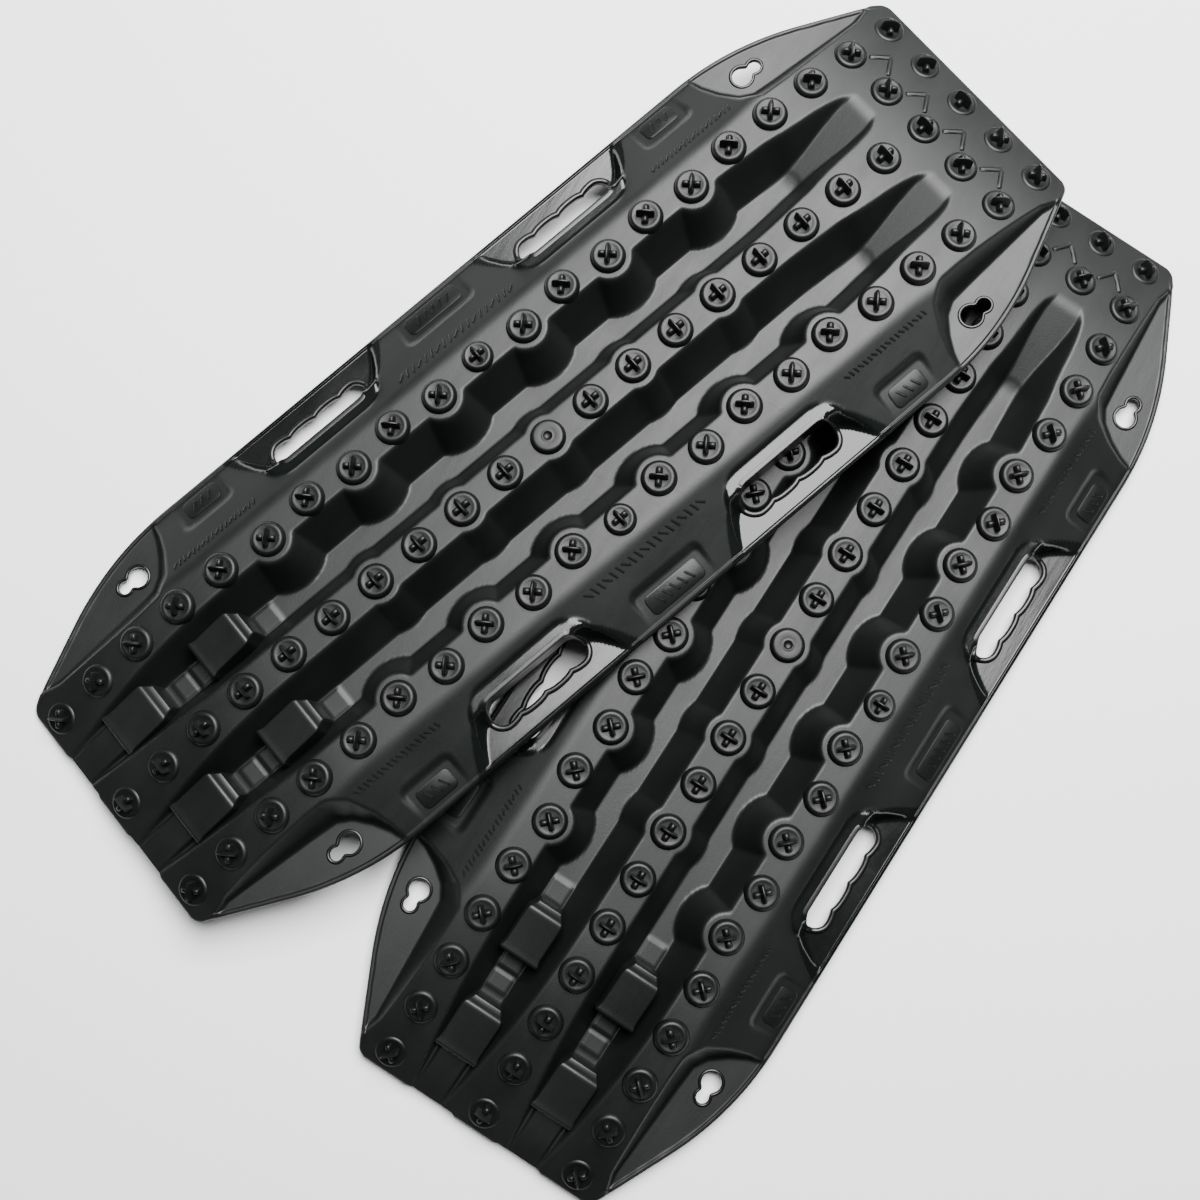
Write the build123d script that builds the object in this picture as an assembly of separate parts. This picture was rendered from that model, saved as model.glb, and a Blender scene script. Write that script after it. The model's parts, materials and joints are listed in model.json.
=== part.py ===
from build123d import *
import os
from math import asin, copysign, degrees, radians, sqrt, tan

# A pair of vehicle traction boards, one lying across the other, in millimetres.
# Each board is one stiff moulding: three raised rails with studs, two deep channels between them,
# a sloping flange along each side with two hand slots and two hanging keyholes, and ramped ends.
# A board is drawn flat on the ground in its own frame: +X towards its nose, +Y to its left,
# +Z up, origin under its middle. The upper one is then moved onto the lower one, and the pair's
# origin is the centre of its footprint, on the ground, with +X along the lower board.
os.makedirs("parts", exist_ok=True)

# ---- driving dimensions of one board -------------------------------------------------------
PITCH = 43.0                     # stud spacing, along a rail and from column to column
SKIN = 4.0                       # wall thickness of the moulding
RAIL_TOP = 42.0                  # height of the rails above the ground
RAIL_Y = 2 * PITCH               # outer rails, left and right of the centre rail
ROWS = 10                        # stud rows from the middle to each end

# plan outline: straight sides, each end drawn in by a large arc and a straight line
SIDE_Y = 165.0
TIP_X = 446.0
TIP_Y = 106.5
NARROWING = 25.8                 # degrees between the side and the end's straight line
SHOULDER_R = 259.0
TIP_CORNER = 12.0

# side view: both ends fall away along an arc
RAMP_X = 6.2 * PITCH
RAMP_R = 510.0

# flange: from the outer rail down to the long edge
FLANGE_Y = 103.0
FLANGE_EDGE = 12.0               # height of its top face at the edge
FLANGE_SLOPE = (RAIL_TOP - FLANGE_EDGE) / (SIDE_Y - FLANGE_Y)

# channels between the rails
CHANNEL_Y = 44.0
CHANNEL_FLOOR = 10.5             # half of the floor's width
CHANNEL_DRAFT = 18.3             # how far each wall leans out from floor to rail top
CHANNEL_END = 284.0              # where the flat floor turns up at the nose
CHANNEL_OUT = 387.0              # where that slope would meet the level of the rail top

# round bosses that swell the rails into the channels
BOSS_TOP = 19.5
BOSS_FOOT = 36.0
BOSS_SHIFT = 5.0                 # outer bosses and their studs sit this much further in
LAST_OUTER_BOSS = 5              # outer rails: odd rows up to here
LAST_CENTRE_BOSS = 4             # centre rail: even rows up to here

# hand slots and their flat pockets
HANDLE_X = 127.5
HANDLE_Y = 135.7
HANDLE_LENGTH = 93.0
HANDLE_WIDTH = 22.4
FINGERS = 4
FINGER_PITCH = 25.4
FINGER_R = 33.5                  # radius of each shallow finger scallop
GRIP_FLOOR = 13.0
GRIP_INNER_Y = 116.0
GRIP_NARROW = 46.0               # half lengths of the pocket floor: at its inner edge,
GRIP_MIDDLE = 53.0               # level with the slot,
GRIP_WIDE = 70.0                 # and at the board's edge
RIM = 4.5
RIM_RISE = 1.6
RIM_DROP = 2.0

# hanging keyholes and their long pockets
KEY_X = 316.0
KEY_Y = 136.3
KEY_R = 8.5
KEY_SMALL_R = 5.5
KEY_PITCH = 13.2
KEY_FLOOR = 12.5
KEY_INNER_Y = 117.0
KEY_POCKET = ((282.0, SIDE_Y), (298.0, 126.0), (314.0, KEY_INNER_Y), (412.0, 111.0))

# shallow recesses for the plates between the pockets
BADGES = ((-238.0, 42.0), (0.0, 60.0), (238.0, 42.0))     # place along the board, length
BADGE_INNER_Y = 136.0
BADGE_FLOOR = 15.5
BADGE_RISE = 1.4
BADGE_MARGIN = 9.0
BADGE_WIDTH = 9.0
POCKET_DRAFT = 28.0              # degrees
POCKET_CORNER = 12.0

# studs
DISC_R = 14.0
SMALL_DISC_R = 12.6
DISC_TOP_R = 10.0
DISC_RISE = 5.0
BLADE = (15.6, 4.6, 9.0)         # length, thickness, height above the disc
STUBS = (16.5, 6.3, 5.0)
BED_IN = 1.5                     # how far a stud is rooted below the surface
SINKING = {8: 1.0, 9: 2.5, 10: 4.0}      # the last rows on the ramps sit this much deeper

# wedge blocks at the tail, rising from the channel floors
BLOCKS = ((-293.0, 32.0), (-379.5, 35.0))   # middle of its length, width
BLOCK_LENGTH = 46.0
BLOCK_NOSE = 8.0                 # length of the bevel under its high edge
BLOCK_FALL = 8.0
BLOCK_UNDER = 2.0                # how far its high edge stays under the rails

# raised arrows between the last two rows of nose studs
CHEVRON = (26.0, 5.0, 2.4)
CHEVRON_X = 404.0
CHEVRON_YS = (-1.5 * PITCH, -0.5 * PITCH, 0.5 * PITCH, 1.5 * PITCH)

# The upper board rests on the lower one's studs and, at its left and tail, on the ground.
# Its place is counted from the lower board's origin, with a hair of clearance at each contact.
UPPER_AT = (30.0, 238.0, 28.4)
UPPER_YAW = -16.5
UPPER_PITCH = -2.6
UPPER_ROLL = -7.4

BEYOND = 60.0                    # overrun of cutting solids
SIDES = {"left": 1, "right": -1}
ENDS = (-1, 1)


# ---- profiles --------------------------------------------------------------------------------
def ramp_drop(x):
    """How far the top face has fallen at x along the ends' arcs."""
    past = max(0.0, abs(x) - RAMP_X)
    return RAMP_R - sqrt(RAMP_R**2 - past**2)


def ramp_lean(x):
    """Slope of the top face at x, in degrees, falling towards the end."""
    past = max(0.0, abs(x) - RAMP_X)
    return copysign(degrees(asin(past / RAMP_R)), x)


def surface_z(x, y=0.0):
    """Height of the rails' and flanges' top face, channels and pockets aside."""
    return RAIL_TOP - max(ramp_drop(x), (abs(y) - FLANGE_Y) * FLANGE_SLOPE)


def plan_outline():
    """The board's outline from above."""
    slope = tan(radians(NARROWING))
    knee_x = TIP_X - (SIDE_Y - TIP_Y) / slope
    corners = [(sx * x, sy * y) for sx, sy in ((1, 1), (-1, 1), (-1, -1), (1, -1))
               for x, y in (((TIP_X, TIP_Y), (knee_x, SIDE_Y))[::sx * sy])]
    face = make_face(Polyline(*corners, close=True))
    face = fillet([v for v in face.vertices() if abs(v.X) < TIP_X - 1], SHOULDER_R)
    return fillet([v for v in face.vertices() if abs(v.X) > TIP_X - 1], TIP_CORNER)


def along_x(points, start, end):
    """A prism along X with the given (y, z) section."""
    section = Plane.YZ.offset(start) * Polygon(*points, align=None)
    return extrude(section, end - start)


def along_y(points, half):
    """A prism along Y, to both sides, with the given (x, z) section."""
    section = Plane.XZ * Polygon(*points, align=None)
    return extrude(section, half, both=True)


def side_profile(drop):
    """The side view of the top face, lowered by drop, closed below the ground."""
    top = RAIL_TOP - drop
    far = RAMP_X + 0.5 * RAMP_R
    mid = RAMP_X + 0.25 * RAMP_R
    edges = [Line((-RAMP_X, top), (RAMP_X, top))]
    for end in ENDS:
        edges.append(ThreePointArc((end * RAMP_X, top), (end * mid, top - ramp_drop(mid)),
                                   (end * far, top - ramp_drop(far))))
        edges.append(Line((end * far, top - ramp_drop(far)), (end * far, -2 * BEYOND)))
    edges.append(Line((-far, -2 * BEYOND), (far, -2 * BEYOND)))
    return make_face(edges)


def body_under(drop):
    """Everything below the top faces lowered by drop, down past the ground."""
    top = RAIL_TOP - drop
    wide = SIDE_Y + BEYOND
    far = TIP_X + BEYOND
    wide_z = top - (wide - FLANGE_Y) * FLANGE_SLOPE
    section = [(-wide, -BEYOND), (wide, -BEYOND), (wide, wide_z), (FLANGE_Y, top),
               (-FLANGE_Y, top), (-wide, wide_z)]
    length = extrude(Plane.XZ * side_profile(drop), wide, both=True)
    return along_x(section, -far, far) & length


# ---- what is taken away ------------------------------------------------------------------------
def boss_places(side):
    """(x, y) of the bosses that reach into the channel on one side."""
    outer = [(row * PITCH, side * (RAIL_Y - BOSS_SHIFT))
             for row in range(-LAST_OUTER_BOSS, LAST_OUTER_BOSS + 1, 2)]
    centre = [(row * PITCH, 0.0) for row in range(-LAST_CENTRE_BOSS, LAST_CENTRE_BOSS + 1, 2)]
    return outer + centre


def channel(side, grow):
    """The trough between two rails. A grown one also takes in its walls and floor."""
    middle = side * CHANNEL_Y
    low = SKIN - grow * 1.5
    high = RAIL_TOP + BEYOND
    lean = CHANNEL_DRAFT / (RAIL_TOP - SKIN)
    low_half = CHANNEL_FLOOR + grow + (low - SKIN) * lean
    high_half = CHANNEL_FLOOR + grow + (high - SKIN) * lean
    section = [(middle - low_half, low), (middle + low_half, low),
               (middle + high_half, high), (middle - high_half, high)]
    rise = (RAIL_TOP - SKIN) / (CHANNEL_OUT - CHANNEL_END)
    far = TIP_X + BEYOND
    reach = CHANNEL_END + (high - SKIN + grow) / rise
    profile = [(-far, low), (CHANNEL_END + (low - SKIN + grow) / rise, low), (reach, high),
               (-far, high)]
    trough = along_x(section, -far, far) & along_y(profile, SIDE_Y)
    height = RAIL_TOP - low + 1.0
    flare = (BOSS_FOOT - BOSS_TOP) / (RAIL_TOP - SKIN)
    top_r = BOSS_TOP - grow - flare
    foot_r = top_r + flare * height
    for x, y in boss_places(side):
        trough -= Pos(x, y, low + height / 2) * Cone(foot_r, top_r, height)
    return trough


def pocket(points, side, floor, grow):
    """A flat-bottomed pocket over a plan drawn on the left side, with leaning walls."""
    plan = make_face(Polyline(*[(x, side * y) for x, y in points], close=True))
    inner = [v for v in plan.vertices() if abs(v.Y) < SIDE_Y]
    plan = fillet(inner, POCKET_CORNER)
    if grow:
        plan = offset(plan, grow, kind=Kind.INTERSECTION)
    return extrude(Pos(0, 0, floor - grow) * plan, RAIL_TOP, taper=-POCKET_DRAFT)


def pockets(side, grow=0.0):
    """The flange pockets of one side: round the hand slots and keyholes, and under the plates."""
    past = SIDE_Y + BEYOND
    found = []
    for end in ENDS:
        grip = [(GRIP_WIDE, SIDE_Y), (GRIP_MIDDLE, HANDLE_Y), (GRIP_NARROW, GRIP_INNER_Y)]
        left = [(end * HANDLE_X - x, y) for x, y in grip]
        right = [(end * HANDLE_X + x, y) for x, y in grip[::-1]]
        outside = [(end * HANDLE_X + GRIP_WIDE, past), (end * HANDLE_X - GRIP_WIDE, past)]
        found.append(pocket(left + right + outside, side, GRIP_FLOOR, grow))
        key = [(end * x, y) for x, y in KEY_POCKET]
        beyond = [(end * (KEY_POCKET[-1][0] + BEYOND), past), (end * KEY_POCKET[0][0], past)]
        found.append(pocket(key + beyond, side, KEY_FLOOR, grow))
    for x, length in BADGES:
        half = length / 2
        plate = [(x - half, past), (x - half, BADGE_INNER_Y), (x + half, BADGE_INNER_Y),
                 (x + half, past)]
        found.append(pocket(plate, side, BADGE_FLOOR, grow))
    return found


def slot_plan(grow=0.0):
    """A hand slot: straight on its inner side, with finger scallops on its outer side (+Y)."""
    scallops = Pos(0, -HANDLE_WIDTH) * Rectangle(2 * HANDLE_LENGTH, 2 * HANDLE_WIDTH)
    centre_y = HANDLE_WIDTH / 2 - FINGER_R
    for finger in range(FINGERS):
        x = (finger - (FINGERS - 1) / 2) * FINGER_PITCH
        scallops += Pos(x, centre_y) * Circle(FINGER_R)
    plan = SlotOverall(HANDLE_LENGTH, HANDLE_WIDTH) & scallops
    return offset(plan, grow, kind=Kind.ARC) if grow else plan


def slot_at(end, side, plan):
    """That plan, laid on the grip floor at one of the four hand slots."""
    turned = plan if side > 0 else Rot(0, 0, 180) * plan
    return Pos(end * HANDLE_X, side * HANDLE_Y, GRIP_FLOOR) * turned


def keyhole(end, side):
    """A snowman-shaped hanging hole: big lobe towards the middle, small lobe to the end."""
    lobes = Circle(KEY_R) + Pos(end * KEY_PITCH, 0) * Circle(KEY_SMALL_R)
    return extrude(Pos(end * KEY_X, side * KEY_Y, KEY_FLOOR) * lobes, 2 * SKIN, both=True)


# ---- the board's pieces --------------------------------------------------------------------------
def moulding():
    """The whole sheet of the board, before it is parted into bed and flanges."""
    shell = body_under(0.0) & extrude(plan_outline(), RAIL_TOP)
    hollow = body_under(SKIN)
    for side in SIDES.values():
        shell -= channel(side, 0.0)
        shell -= pockets(side)
        hollow -= channel(side, SKIN)
        hollow -= pockets(side, SKIN)
    shell -= hollow
    for side in SIDES.values():
        for end in ENDS:
            shell -= extrude(slot_at(end, side, slot_plan()), 3 * SKIN, both=True)
            shell -= keyhole(end, side)
    return shell


def strip(low, high):
    """A slab that parts the sheet between two y values."""
    far = TIP_X + BEYOND
    return Pos(0, (low + high) / 2, 0) * Box(2 * far, high - low, 4 * RAIL_TOP)


def stud(x, y, turn, radius=DISC_R):
    """A round disc with a cross on it: one tall blade and two low stubs, square to the surface."""
    rise = DISC_RISE - SINKING.get(round(abs(x) / PITCH), 0.0)
    depth = DISC_RISE + 3 * BED_IN
    body = Pos(0, 0, -DISC_RISE / 2) * Cone(radius, DISC_TOP_R, DISC_RISE)
    body += Pos(0, 0, -(DISC_RISE + depth) / 2) * Cylinder(radius, depth - DISC_RISE)
    for (length, thick, height), angle in ((BLADE, 90), (STUBS, 0)):
        body += Rot(0, 0, angle) * extrude(Rectangle(length, thick), height, taper=8)
    placed = Pos(x, y, surface_z(x, y)) * Rot(0, ramp_lean(x), 0) * Pos(0, 0, rise) * Rot(0, 0, turn) * body
    return placed - body_under(BED_IN)


def rail_studs(y, turns):
    """The studs of one rail: twenty in a row, none at the very middle of the centre rail."""
    found = []
    for row in range(-ROWS, ROWS + 1):
        if row == 0 and y == 0:
            continue
        bossed = y != 0 and row % 2 and abs(row) <= LAST_OUTER_BOSS
        inward = BOSS_SHIFT if bossed else 0.0
        place = y - inward * (1 if y > 0 else -1)
        radius = SMALL_DISC_R if row == 0 else DISC_R
        found.append(stud(row * PITCH, place, turns(row), radius))
    return Compound(children=found)


def nose_studs():
    """The four extra studs between the rails at the nose."""
    found = []
    for row in (ROWS - 1, ROWS):
        for side in SIDES.values():
            found.append(stud(row * PITCH, side * PITCH, 45 * side * (-1) ** row))
    return Compound(children=found)


def gate_button():
    """The plain round button where the moulding was filled, with a small dimple."""
    disc = Pos(0, 0, RAIL_TOP - BED_IN) * extrude(Circle(DISC_R), BED_IN + DISC_RISE, taper=6)
    disc = fillet(disc.edges().group_by(Axis.Z)[-1], 2.0)
    dimple = Pos(0, 0, RAIL_TOP + DISC_RISE + 2.2) * Sphere(4.0)
    return disc - dimple


def wedge_block(x, side, width):
    """A block on a channel floor: bevelled front, rounded crest, and a top falling to the tail."""
    front = x + BLOCK_LENGTH / 2
    back = x - BLOCK_LENGTH / 2
    crest = front - BLOCK_NOSE
    high = surface_z(crest) - BLOCK_UNDER
    low = high - BLOCK_FALL
    foot = SKIN / 2
    points = [(back, foot), (front, foot), (front, high - BLOCK_NOSE), (crest, high),
              (back + SKIN, low), (back, low)]
    block = Pos(0, side * CHANNEL_Y, 0) * along_y(points, width / 2)
    crown = [e for e in block.edges().filter_by(Axis.Y) if e.center().Z > high - 1]
    return fillet(crown, 3.0)


def wedge_blocks():
    """Two blocks in each channel."""
    found = []
    for side in SIDES.values():
        for x, width in BLOCKS:
            found.append(wedge_block(x, side, width))
    return Compound(children=found)


def handle_rims():
    """The raised rim round each hand slot."""
    ring = slot_plan(RIM) - slot_plan()
    found = []
    for side in SIDES.values():
        for end in ENDS:
            laid = slot_at(end, side, ring)
            found.append(Pos(0, 0, -RIM_DROP) * extrude(laid, RIM_DROP + RIM_RISE))
    return Compound(children=found)


def side_badges():
    """Plain raised plates in the flanges' recesses."""
    found = []
    for side in SIDES.values():
        for x, length in BADGES:
            plate = RectangleRounded(length - 2 * BADGE_MARGIN, BADGE_WIDTH, BADGE_WIDTH / 3)
            y = side * (BADGE_INNER_Y + SIDE_Y) / 2
            solid = extrude(plate, 2 * BADGE_RISE, taper=12)
            found.append(Pos(x, y, BADGE_FLOOR - BADGE_RISE) * solid)
    return Compound(children=found)


def nose_chevrons():
    """Raised arrows between the nose studs that show which way the board points."""
    arm, thick, rise = CHEVRON
    arrow = Rectangle(thick, thick)
    for turn in ENDS:
        arrow += Rot(0, 0, turn * 55) * Pos(-arm / 4, 0) * Rectangle(arm / 2, thick)
    mark = Rot(0, ramp_lean(CHEVRON_X), 0) * Pos(arm / 6, 0, -rise / 2) * extrude(arrow, rise, taper=12)
    found = [Pos(CHEVRON_X, y, surface_z(CHEVRON_X)) * mark for y in CHEVRON_YS]
    return Compound(children=found)


def board():
    """Every named piece of one board, in the board's own frame."""
    sheet = moulding()
    far = SIDE_Y + BEYOND
    return {
        "track_bed": sheet & strip(-FLANGE_Y, FLANGE_Y),
        "left_flange": sheet & strip(FLANGE_Y, far),
        "right_flange": sheet & strip(-far, -FLANGE_Y),
        "centre_studs": rail_studs(0.0, lambda row: 0),
        "left_studs": rail_studs(RAIL_Y, lambda row: 0 if row == 0 else 45 * (-1) ** row),
        "right_studs": rail_studs(-RAIL_Y, lambda row: 0 if row == 0 else -45 * (-1) ** row),
        "nose_studs": nose_studs(),
        "gate_button": gate_button(),
        "wedge_blocks": wedge_blocks(),
        "handle_rims": handle_rims(),
        "side_badges": side_badges(),
        "nose_chevrons": nose_chevrons(),
    }


def pair():
    """Both boards' pieces as {node: list of solids}, centred over their joint footprint."""
    lean = Rot(0, 0, UPPER_YAW) * Rot(0, UPPER_PITCH, 0) * Rot(UPPER_ROLL, 0, 0)
    places = {"lower": Pos(0, 0, 0), "upper": Pos(*UPPER_AT) * lean}
    pieces = board()
    sheets = [place * solid for place in places.values()
              for name in ("track_bed", "left_flange", "right_flange")
              for solid in pieces[name].solids()]
    middle = Compound(children=sheets).bounding_box().center()
    centred = Pos(-middle.X, -middle.Y, 0)
    return {f"{which}_{name}": [centred * place * solid for solid in piece.solids()]
            for which, place in places.items() for name, piece in pieces.items()}


def main():
    for node, solids in pair().items():
        export_step(Compound(children=solids), f"parts/{node}.step")


main()
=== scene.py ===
import json
import math

import bpy
import numpy as np
from mathutils import Matrix, Vector


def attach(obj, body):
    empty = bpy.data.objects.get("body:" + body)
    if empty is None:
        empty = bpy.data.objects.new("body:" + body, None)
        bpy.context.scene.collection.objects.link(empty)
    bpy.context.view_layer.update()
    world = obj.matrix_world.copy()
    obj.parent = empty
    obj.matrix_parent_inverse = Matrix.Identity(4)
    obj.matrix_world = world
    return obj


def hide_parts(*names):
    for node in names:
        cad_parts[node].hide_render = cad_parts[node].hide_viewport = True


# A pair of black traction boards, one lying across the other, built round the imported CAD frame.
# Each board is modelled once, in millimetres in its own frame (+X nose, +Y left, +Z up, ground at
# z 0), and placed twice: the keyhole mounts in the record say where the two boards are.
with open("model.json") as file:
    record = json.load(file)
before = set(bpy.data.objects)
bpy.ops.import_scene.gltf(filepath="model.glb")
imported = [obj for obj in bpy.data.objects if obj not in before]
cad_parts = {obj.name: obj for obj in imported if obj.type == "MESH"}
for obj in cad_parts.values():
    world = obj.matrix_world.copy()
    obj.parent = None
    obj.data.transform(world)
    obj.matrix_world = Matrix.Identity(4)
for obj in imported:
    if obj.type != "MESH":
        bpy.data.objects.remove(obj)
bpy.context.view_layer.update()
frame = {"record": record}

MM = 0.001
SIDES = (1, -1)                  # left and right
ENDS = (1, -1)                   # nose and tail
BOARDS = ("lower", "upper")

# ---- one board's dimensions ------------------------------------------------------------------
PITCH = 43.0                     # from stud to stud along a rail
ROWS = 10                        # rows of studs each way from the middle
RAIL_TOP = 42.0
RAIL_Y = 2 * PITCH
SHEET = 3.6                      # thickness of the moulded sheet

SIDE_Y = 165.0                   # outline: straight side, large arc, straight line, small corner
TIP_X = 446.0
TIP_Y = 106.5
NARROWING = math.radians(25.8)
SHOULDER_R = 259.0
TIP_CORNER = 12.0
EDGE_R = 1.7                     # rounding of the outermost edge
LIP_RISE = 1.3                   # thin lip along the long edges, and how far in it reaches
LIP_REACH = 4.2

RAMP_X = 6.2 * PITCH             # both ends fall away along an arc
RAMP_R = 510.0
FLANGE_Y = 103.0                 # the flanges slope down from here
FLANGE_SLOPE = 30.0 / 62.0

CHANNEL_Y = 44.0
CHANNEL_Z = 4.0                  # height of a channel's floor
FLOOR_HALF = 10.5                # half width of the floor, where the walls start
WALL_SLOPE = 38.0 / 18.3
CLIMB_X = 284.0                  # the floor climbs into the nose from here
CLIMB_SLOPE = 0.37
RIBBON_X = 283.0                 # a ribbon along the floor, a step lower than the climb round its end
RIBBON_HALF = 10.0
RIBBON_STEP = 0.4
# Low steps across the channels at the tail: back, front, half width and height.
TAIL_STEPS = ((-268, -249, 9.0, 4.5), (-331, -316, 9.5, 5.4), (-349, -334, 9.0, 4.8))
APRON_X = -403.0                 # behind here an apron closes the channels at the tail
APRON_HALF = 12.0
APRON_DEPTH = 3.2

BOSS_TOP = 19.5                  # radius of the bosses that widen the rails under some studs
BOSS_SLOPE = 38.0 / 16.5
BOSS_SHIFT = 5.0                 # the outer rails' bosses and their studs sit this much further in
LAST_OUTER_BOSS = 5
LAST_CENTRE_BOSS = 4

HANDLE_X = 127.5                 # a hand slot: its middle, straight half length and end radius
HANDLE_Y = 135.7
SLOT_STRAIGHT = 35.3
SLOT_R = 11.2
FINGER = 25.4                    # width of a finger's lobe, the radius of its arc, and how far the
LOBE_R = 33.5                    # arc's middle lies from the slot's
LOBE_Y = -22.2
GRIP_Z = 13.0                    # floor of the pocket round it
SHELF_Z = 35.5                   # level shelf on the slot's inner side, and how far it reaches
SHELF_REACH = 11.5
SHELF_Y = 114.0
SHELF_FALL = 0.08

KEY_X = 316.0                    # a hanging keyhole: its big lobe, and the small lobe KEY_STEP from it
KEY_Y = 136.3
KEY_R = 8.5
KEY_SMALL_R = 5.5
KEY_STEP = 13.2
KEY_Z = 12.5                     # floor of the pocket round it
KEY_MOUNT_Z = 10.5               # height of the keyhole mounts in the record

PLATES = ((-238.0, 21.0), (0.0, 31.0), (238.0, 21.0))    # x and half length of the flange's recesses
PLATE_Y = 149.0                  # a plate's middle, half width and gap to the recess's ends
PLATE_HALF = 8.2
PLATE_GAP = 5.0
PLATE_RISE = 1.2
RECESS_Y = 135.5                 # inner edge of a recess
RECESS_CORNER = 4.5
RECESS_Z = 15.5                  # floor of a recess at RECESS_LOW_Y, rising towards the rail
RECESS_LOW_Y = 158.0
RECESS_SLOPE = 0.34

DISC_RISE = 5.0                  # a stud's disc over the rail
STUD_SINK = {8: 1.0, 9: 2.5, 10: 4.0}    # how much deeper the last rows of studs sit
ROOT = 1.6                       # how deep the studs' feet go into the sheet
GRID = 1.8                       # spacing of the sheet's lines along the board


# ---- small helpers ---------------------------------------------------------------------------
def soft_max(a, b, k):
    """The greater of a and b, blended where they differ by less than k."""
    share = np.clip(0.5 + 0.5 * (a - b) / k, 0, 1)
    return b + (a - b) * share + k * share * (1 - share)


def soft_min(a, b, k):
    return -soft_max(-a, -b, k)


def smooth(t):
    t = np.clip(t, 0, 1)
    return t * t * (3 - 2 * t)


def plan_distance(points, x, y):
    """Distance to a closed outline in plan, negative inside it."""
    best = np.full(np.shape(x), 1e9)
    inside = np.zeros(np.shape(x), bool)
    for (ax, ay), (bx, by) in zip(points, points[1:] + points[:1]):
        ex, ey = bx - ax, by - ay
        t = np.clip(((x - ax) * ex + (y - ay) * ey) / (ex * ex + ey * ey), 0, 1)
        best = np.minimum(best, np.hypot(x - ax - t * ex, y - ay - t * ey))
        if ey:
            inside ^= ((ay > y) != (by > y)) & (x < ex * (y - ay) / ey + ax)
    return np.where(inside, -best, best)


# ---- the board's shape -----------------------------------------------------------------------
def ramp_drop(x):
    """How far the rails have fallen below their height at the middle."""
    past = np.clip(np.abs(x) - RAMP_X, 0, None)
    return RAMP_R - np.sqrt(RAMP_R**2 - past**2)


def half_width(x):
    """Half of the board's width at x."""
    x = np.abs(x)
    knee = TIP_X - (SIDE_Y - TIP_Y) / math.tan(NARROWING)
    reach = SHOULDER_R * math.tan(NARROWING / 2)
    arc = SIDE_Y - SHOULDER_R + np.sqrt(np.maximum(SHOULDER_R**2 - (x - knee + reach) ** 2, 0))
    line = TIP_Y + (TIP_X - x) * math.tan(NARROWING)
    back = TIP_CORNER * math.tan((math.pi / 2 - NARROWING) / 2)
    corner = TIP_Y - back + np.sqrt(np.maximum(TIP_CORNER**2 - (x - TIP_X + TIP_CORNER) ** 2, 0))
    width = np.where(x < knee - reach, SIDE_Y, arc)
    width = np.where(x > knee + reach * math.cos(NARROWING), line, width)
    return np.where(x > TIP_X - back * math.cos(NARROWING), corner, width)


def trough(x, y):
    """The channels: floor, walls, bosses, the nose ramp, and the steps and apron at the tail."""
    d = np.abs(y - CHANNEL_Y)
    ribbon = np.hypot(np.clip(x - RIBBON_X, 0, None), d) - RIBBON_HALF
    climb = CLIMB_SLOPE * soft_max(x - CLIMB_X, np.zeros_like(x), 6.0)
    floor = CHANNEL_Z + climb + RIBBON_STEP * smooth(ribbon / 1.5) * smooth((x - 280) / 5)
    half = FLOOR_HALF - 2.5 * smooth((x - 225) / 60)
    half = half + 6.5 * smooth((x - 290) / 62) - 3 * smooth((x - 352) / 14)
    out = soft_max(floor, floor + (d - half) * WALL_SLOPE, 1.6)
    for back, front, wide, top in TAIL_STEPS:
        gap = np.maximum(np.maximum(back - x, x - front), d - wide)
        out = soft_max(out, top - 0.7 * np.clip(gap, -1, None), 0.8)
    apron = RAIL_TOP - ramp_drop(x) - APRON_DEPTH * smooth((x + 436) / 32)
    gap = np.maximum(x - APRON_X, d - APRON_HALF)
    out = soft_max(out, apron - 3.0 * np.clip(gap, 0, None), 1.2)
    for row in range(-LAST_OUTER_BOSS, LAST_OUTER_BOSS + 1):
        if row % 2:
            r = np.hypot(x - row * PITCH, y - RAIL_Y + BOSS_SHIFT)
        elif abs(row) <= LAST_CENTRE_BOSS:
            r = np.hypot(x - row * PITCH, y)
        else:
            continue
        out = soft_max(out, RAIL_TOP - (r - BOSS_TOP) * BOSS_SLOPE, 1.2)
    return out


# Outlines of the pockets in plan, which run out past the board's edge: round a hand slot, about
# its middle in x, and round a keyhole.
GRIP = [(-76.0, 190.0), (-73.0, 166.0), (-65.0, 152.0), (-58.0, 142.0), (-52.5, 136.5),
        (-46.0, 135.5), (-38.0, 137.0), (-30.0, 140.0)]
GRIP = GRIP + [(-x, y) for x, y in GRIP[::-1]]
KEY_POCKET = [(276.0, 200.0), (280.0, 165.0), (285.0, 150.0), (292.0, 137.0), (302.0, 124.0),
              (313.0, 117.5), (330.0, 116.0), (414.0, 110.5), (470.0, 120.0), (470.0, 200.0)]


def recess_floor(y):
    """The floor of the plates' recesses, a little more level than the flange."""
    return RECESS_Z + (RECESS_LOW_Y - np.abs(y)) * RECESS_SLOPE


def shelf_distance(x, y):
    """Distance to the shelf round the inner side of a hand slot, about the slot's middle."""
    body = np.hypot(np.clip(np.abs(x) - SLOT_STRAIGHT, 0, None), y) - SLOT_R - SHELF_REACH
    return np.maximum(body, y + 1.0)


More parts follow.
